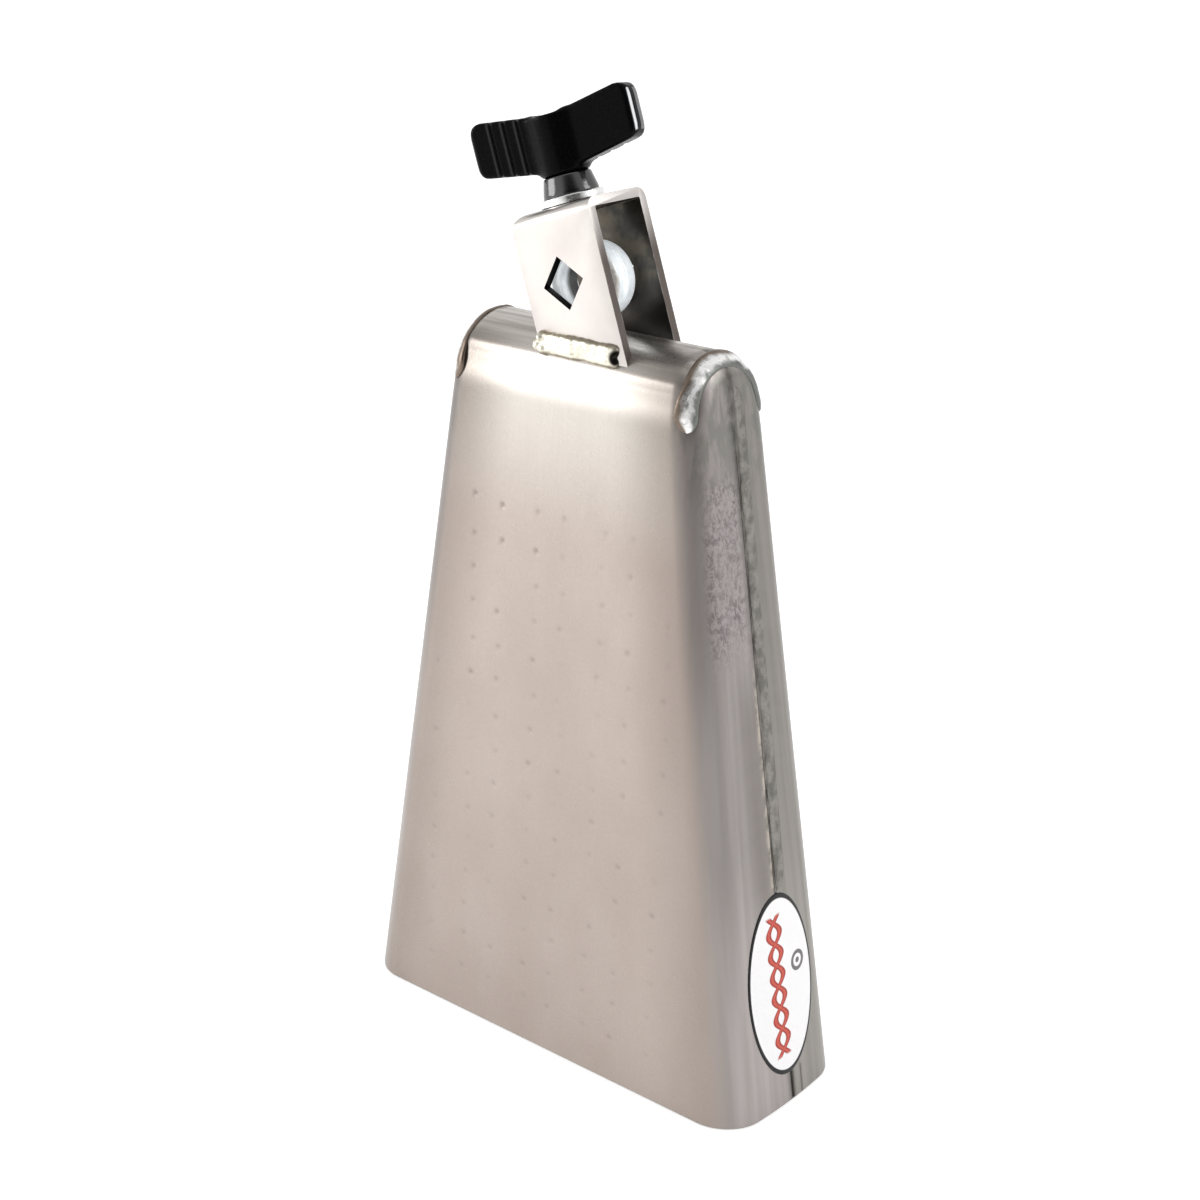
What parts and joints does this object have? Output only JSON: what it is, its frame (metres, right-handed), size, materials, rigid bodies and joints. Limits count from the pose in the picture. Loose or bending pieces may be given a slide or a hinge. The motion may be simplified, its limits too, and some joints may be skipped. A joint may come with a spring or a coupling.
{
  "type": "cowbell",
  "caption": "Drummer's cowbell of folded, welded sheet steel with a tilted U-shaped rod bracket, clamping eye bolt, washer and plastic-winged nut; a small plain label by the mouth.",
  "frame": {"origin": "centre of the mouth's outer box, in the plane of the mouth's rim, which is the lowest plane of the part", "axes": "+Z from the mouth up to the crown and the wing nut; +Y across the thin depth of the bell, towards the rear face, and the mounting rod runs along it; +X along the fold, towards the end with the label. The bracket leans towards -X."},
  "size_m": [0.1396, 0.051, 0.2642],
  "materials": {
    "bell_steel": "brushed lengthwise, bare, lightly lacquered",
    "ground_weld": "weld bead, ground rough",
    "bracket_plating": "bright zinc plating, smooth",
    "foot_weld": "weld bead, plated over",
    "bolt_plating": "bright zinc plating, slightly blue",
    "washer_plating": "zinc plating",
    "insert_chrome": "turned and polished",
    "grip_plastic": "moulded, glossy black",
    "label_film": "printed glossy film, white with red ornament and a black edge"
  },
  "bodies": {
    "bell": {"bell_shell": "bell_steel", "left_seam_weld": "ground_weld", "right_seam_weld": "ground_weld", "left_crown_weld": "ground_weld", "right_crown_weld": "ground_weld", "mount_bracket": "bracket_plating", "front_foot_weld": "foot_weld", "rear_foot_weld": "foot_weld", "label": "label_film"},
    "wing_nut": {"wing_nut_insert": "insert_chrome", "wing_nut_grip": "grip_plastic"},
    "eye_bolt": {"eye_bolt": "bolt_plating"},
    "washer": {"washer": "washer_plating"}
  },
  "joints": [
    {"name": "wing_nut_turn", "type": "hinge", "parent": "bell", "child": "wing_nut", "pos_m": [-0.0032, 0, 0.2154], "axis": [-0.3256, 0, 0.9455], "range_deg": [-1080, 180]},
    {"name": "eye_bolt_slide", "type": "slide", "parent": "bell", "child": "eye_bolt", "axis": [-0.3256, 0, 0.9455], "range_m": [-0.0007, 0.00423]},
    {"name": "washer_spin", "type": "hinge", "parent": "bell", "child": "washer", "pos_m": [-0.0032, 0, 0.2154], "axis": [-0.3256, 0, 0.9455], "continuous": true}
  ],
  "couplings": [
    {"joint": "wing_nut_turn", "follows": "eye_bolt_slide", "rad_per_m": -4453}
  ]
}
